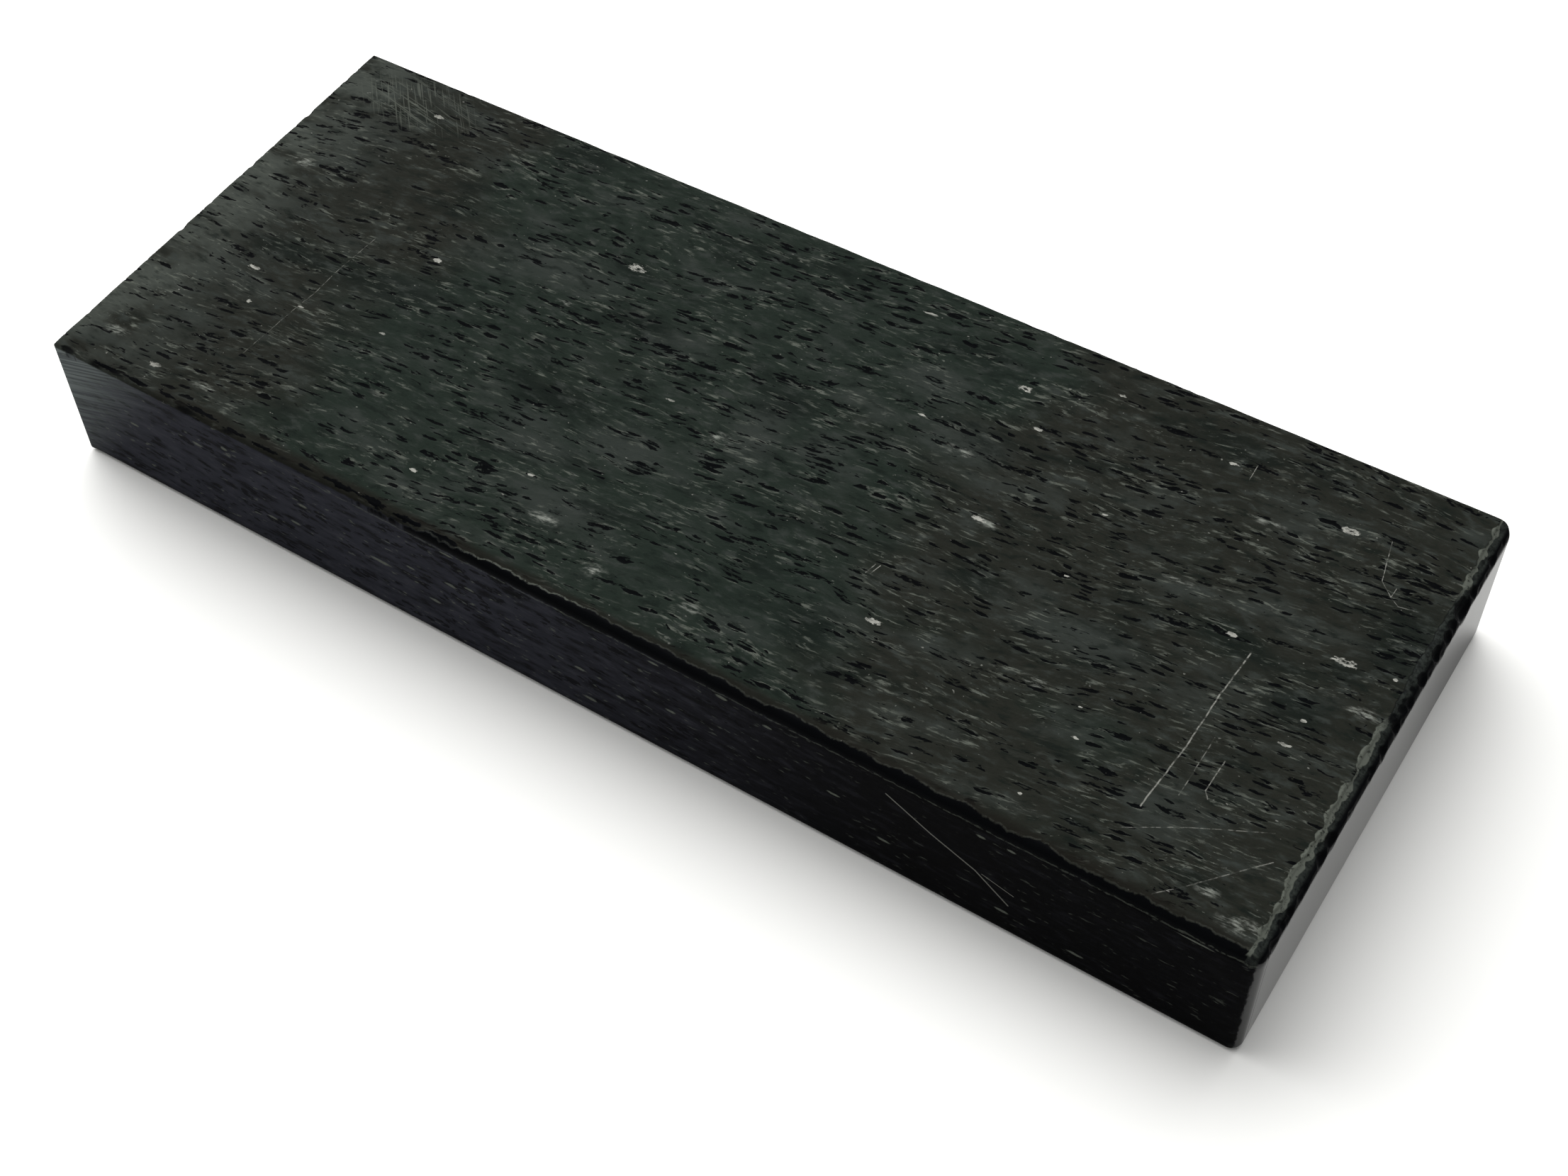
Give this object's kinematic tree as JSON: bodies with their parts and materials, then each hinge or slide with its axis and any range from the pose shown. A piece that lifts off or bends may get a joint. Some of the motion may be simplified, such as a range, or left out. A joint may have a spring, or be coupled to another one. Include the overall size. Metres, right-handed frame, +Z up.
{
  "type": "granite slab",
  "caption": "Thin rectangular block of dark green-black stone with a textured satin top, polished sides and worn, chipped top edges; a bench surface for punching and tooling leather.",
  "frame": {"origin": "middle of the block's box, on the plane it rests on", "axes": "+X along the block's length from the sawn left end to the polished right end; +Y from the front face to the back face; +Z up, out of the working face"},
  "size_m": [0.25, 0.1022, 0.03],
  "materials": {
    "granite": "dark green-black, satin leathered top, polished front and right end, sawn left end"
  },
  "bodies": {
    "root": {"granite_slab": "granite"}
  },
  "joints": []
}
